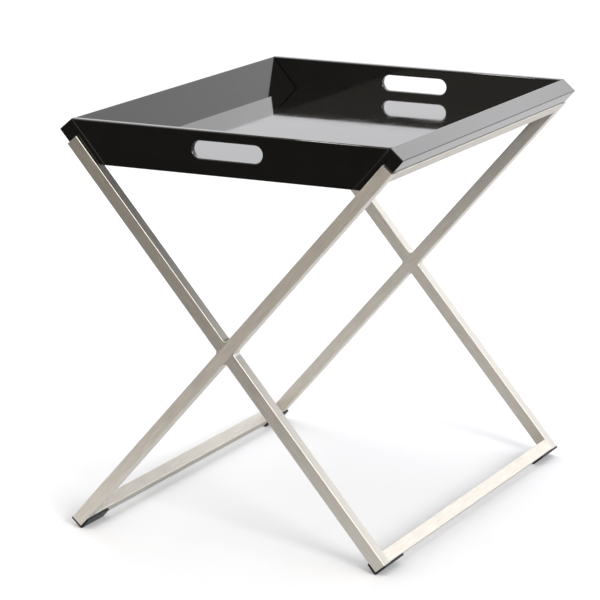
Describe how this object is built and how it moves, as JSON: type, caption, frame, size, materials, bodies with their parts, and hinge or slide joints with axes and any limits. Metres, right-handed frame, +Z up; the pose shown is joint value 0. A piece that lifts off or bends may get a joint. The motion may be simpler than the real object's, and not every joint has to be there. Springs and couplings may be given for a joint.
{
  "type": "tray table",
  "caption": "Lift-off gloss lacquered tray with sloping sides and hand slots, resting in a rigid X-shaped frame of brushed square steel tube on corner glides.",
  "frame": {"origin": "on the floor under the middle of the table", "axes": "+Z up, +X to the right along the front, +Y to the back; the front is the side towards -Y, with a hand slot"},
  "size_m": [0.4488, 0.56, 0.5076],
  "materials": {
    "brushed_stainless": "brushed along each tube, welds ground flush",
    "glide_plastic": "moulded black plastic",
    "black_lacquer": "fibreboard with polished high-gloss black lacquer",
    "felt": "thin black felt",
    "brad_steel": "bright steel brads set under the lacquer"
  },
  "bodies": {
    "frame": {"front_leg_through": "brushed_stainless", "front_leg_upper_half": "brushed_stainless", "front_leg_lower_half": "brushed_stainless", "back_leg_through": "brushed_stainless", "back_leg_upper_half": "brushed_stainless", "back_leg_lower_half": "brushed_stainless", "top_rail_left": "brushed_stainless", "top_rail_right": "brushed_stainless", "bottom_rail_left": "brushed_stainless", "bottom_rail_right": "brushed_stainless", "end_plate_top_front_left": "brushed_stainless", "end_plate_top_front_right": "brushed_stainless", "end_plate_top_back_left": "brushed_stainless", "end_plate_top_back_right": "brushed_stainless", "end_plate_foot_front_left": "brushed_stainless", "end_plate_foot_front_right": "brushed_stainless", "end_plate_foot_back_left": "brushed_stainless", "end_plate_foot_back_right": "brushed_stainless", "front_cross_weld": "brushed_stainless", "back_cross_weld": "brushed_stainless", "glide_front_left": "glide_plastic", "glide_front_right": "glide_plastic", "glide_back_left": "glide_plastic", "glide_back_right": "glide_plastic"},
    "tray": {"tray_floor": "black_lacquer", "left_wall": "black_lacquer", "right_wall": "black_lacquer", "front_panel": "black_lacquer", "back_panel": "black_lacquer", "left_rim_bar": "black_lacquer", "right_rim_bar": "black_lacquer", "felt_pad_front_left": "felt", "felt_pad_front_right": "felt", "felt_pad_back_left": "felt", "felt_pad_back_right": "felt", "panel_brads": "brad_steel", "floor_brads": "brad_steel", "rim_brads": "brad_steel"}
  },
  "joints": [
    {"name": "tray_lift", "type": "slide", "parent": "frame", "child": "tray", "axis": [0, 0, 1], "range_m": [0, 0.12]}
  ]
}
